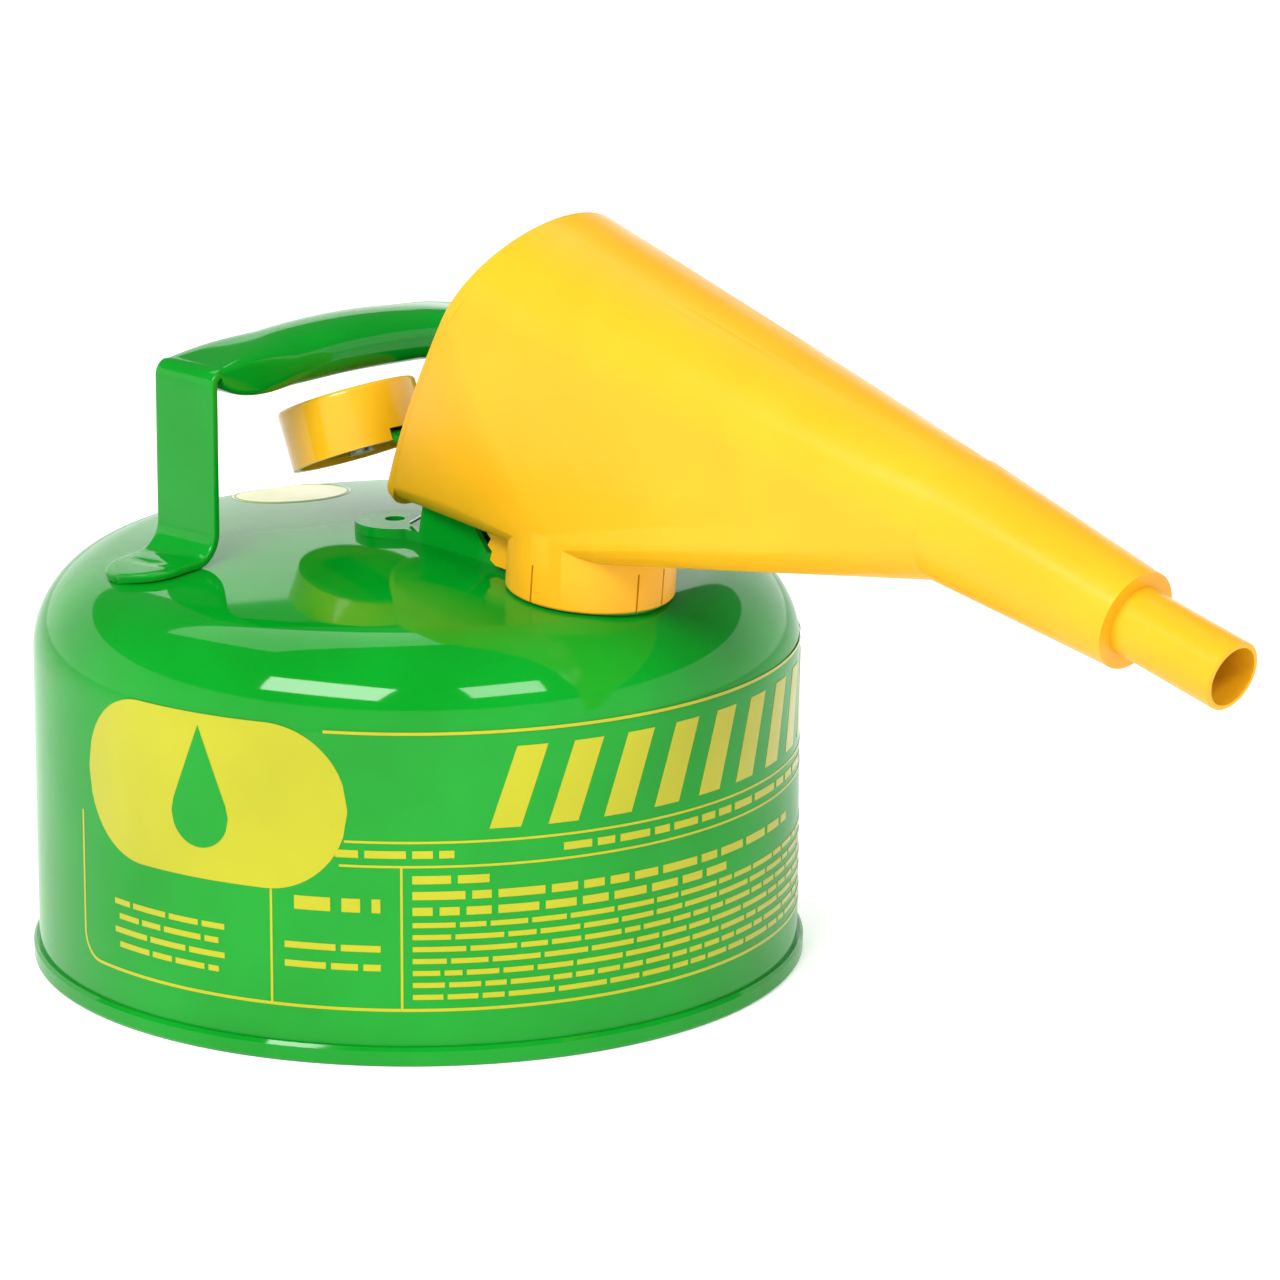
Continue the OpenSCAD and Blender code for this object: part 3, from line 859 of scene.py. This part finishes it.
def small_print():
    """Rows of bars in blocks like those of the can's smaller lettering."""
    band_z = (BAND_LOW + BAND_HIGH) / 2
    column = COLUMN_B + 3
    rows = [(arc_length(a), arc_length(b), band_z, 2.2) for a, b in ((-60, -38), (-22, 40))]
    rows += [(column, arc_length(b), z, 2.4) for b, z in ((-33, 54.2), (28, 49.6), (8, 45.0))]
    rows += [(column, arc_length(46 - 3 * (i % 3)), 41.0 - 3.5 * i, 1.5) for i in range(7)]
    rows.append((arc_length(-61), arc_length(-48.5), 46.5, 4.0))
    rows += [(arc_length(-62.5), arc_length(-48.5), z, 1.9) for z in (34.0, 28.5)]
    rows += [(arc_length(-93 + i % 2), arc_length(-72 - i % 2), 36.5 - 4.2 * i, 1.7) for i in range(4)]
    rng = random.Random(7)
    parts = []
    for start, end, z, height in rows:
        parts += row_of_bars(start, end, z, height, rng)
    return gather(parts)


def printed_wall():
    """Every printed shape as a piece of its own."""
    for name, shape, slot in (
        ("print_frame", frame_line(), "print_ink"),
        ("print_rules", rules(), "print_ink"),
        ("print_badge", badge(), "print_ink"),
        ("print_drop", droplet(), "green_paint"),
        ("print_stripes", stripes(), "print_ink"),
        ("print_rows", small_print(), "print_ink"),
    ):
        new_piece(name, *shape, slot, "can", 60)


printed_wall()

# ---- Label outline on the can's top ----

BORDER_R = (LABEL_R - 1.1, LABEL_R - 0.5)
BORDER_LIFT = (0.16, 0.22)


def label_border():
    """A thin dark ring printed just inside the label's edge."""
    (inner, outer), (low, high) = BORDER_R, BORDER_LIFT
    section = ((inner, low), (outer, low), (outer, high), (inner, high))
    rings = []
    for a in steps(0, 2 * math.pi, 96)[:-1]:
        ring = []
        for r, lift in section:
            x = LABEL_CENTRE[0] + r * math.cos(a)
            y = LABEL_CENTRE[1] + r * math.sin(a)
            ring.append(mm((x, y, top_z(math.hypot(x, y)) + lift)))
        rings.append(ring)
    verts, faces = loft(rings, closed_path=True)
    new_piece("label_border", verts, faces, "green_paint", "can", 60)


label_border()

# ---- CAD nodes that keep their shape ----

for row in frame["record"]["subparts"]:
    node = frame["nodes"][row["node"]]
    node.data.materials.clear()
    node.data.materials.append(materials[row["material_slot"]])
    smooth(node.data, 35)

# ---- Floor, light and camera, in metres and degrees ----

LIGHT_TARGET = (0.05, 0, 0.10)
CAMERA_AZIMUTH = -43
CAMERA_OUT = 1.672
CAMERA_UP = 0.5411
CAMERA_AIM = (0.0326, 0.0600, 0.0880)
CAMERA_ROLL = 0.0041  # radians
CAMERA_LENS = 165.4


def stage_material(name, glow):
    """A matt white that also glows a little, as a lit studio sweep does."""
    material, nodes, _ = new_material(name)
    shader = nodes["Principled BSDF"]
    shader.inputs["Base Color"].default_value = (0.90, 0.90, 0.90, 1)
    shader.inputs["Roughness"].default_value = 0.9
    shader.inputs["Specular IOR Level"].default_value = 0.0
    shader.inputs["Emission Color"].default_value = (1.0, 1.0, 1.0, 1)
    shader.inputs["Emission Strength"].default_value = glow
    return material


def stage_piece(name, verts, faces, glow):
    """Scenery from points in metres, which isn't part of the object."""
    mesh = bpy.data.meshes.new(name)
    mesh.from_pydata(verts, [], faces)
    mesh.materials.append(stage_material(name, glow))
    add_object(name, mesh)


def stage():
    """A white floor, and a low white wall far round it that the glossy paint reflects."""
    radius, wall_h, below, count = 3.6, 1.7, -0.0002, 96
    turns = steps(0, 2 * math.pi, count)[:-1]
    low = [(radius * math.cos(a), radius * math.sin(a), below) for a in turns]
    high = [(x, y, wall_h) for x, y, _ in low]
    stage_piece("floor", low, [tuple(range(count))], 0.36)
    sides = [(i, (i + 1) % count, count + (i + 1) % count, count + i) for i in range(count)]
    stage_piece("backdrop", low + high, sides, 0.80)


def soft_box(name, azimuth, elevation, distance, width, height, watts):
    """A soft rectangular light that faces the can from a direction in degrees."""
    a, e = math.radians(azimuth), math.radians(elevation)
    direction = Vector((math.cos(a) * math.cos(e), math.sin(a) * math.cos(e), math.sin(e)))
    data = bpy.data.lights.new(name, "AREA")
    data.shape = "RECTANGLE"
    data.size = width
    data.size_y = height
    data.energy = watts
    light = add_object(name, data)
    light.location = Vector(LIGHT_TARGET) + direction * distance
    light.rotation_euler = (-direction).to_track_quat("-Z", "Y").to_euler()


def lights():
    """An even white surround and three soft boxes: two on the camera's side and one behind the can."""
    world = bpy.data.worlds.new("studio")
    world.use_nodes = True
    background = world.node_tree.nodes["Background"]
    background.inputs["Color"].default_value = (1.0, 1.0, 1.0, 1)
    background.inputs["Strength"].default_value = 0.25
    bpy.context.scene.world = world
    soft_box("key", -77, 43, 1.6, 0.94, 0.42, 27)
    soft_box("second", -14, 43, 1.6, 0.58, 0.36, 10)
    soft_box("back", 165, 60, 1.8, 1.2, 0.8, 8)


def camera():
    """A long lens, a little above the can, in front of it on its -Y side."""
    data = bpy.data.cameras.new("camera")
    data.sensor_width = 36
    data.lens = CAMERA_LENS
    data.clip_start = 0.05
    data.clip_end = 50
    view = add_object("camera", data)
    azimuth = math.radians(CAMERA_AZIMUTH)
    view.location = (CAMERA_OUT * math.cos(azimuth), CAMERA_OUT * math.sin(azimuth), CAMERA_UP)
    turn = (Vector(CAMERA_AIM) - view.location).to_track_quat("-Z", "Y")
    view.rotation_euler = turn.to_euler()
    view.rotation_euler.rotate_axis("Z", CAMERA_ROLL)
    bpy.context.scene.camera = view
    bpy.context.scene.view_settings.view_transform = "Standard"


stage()
lights()
camera()

bpy.context.view_layer.update()
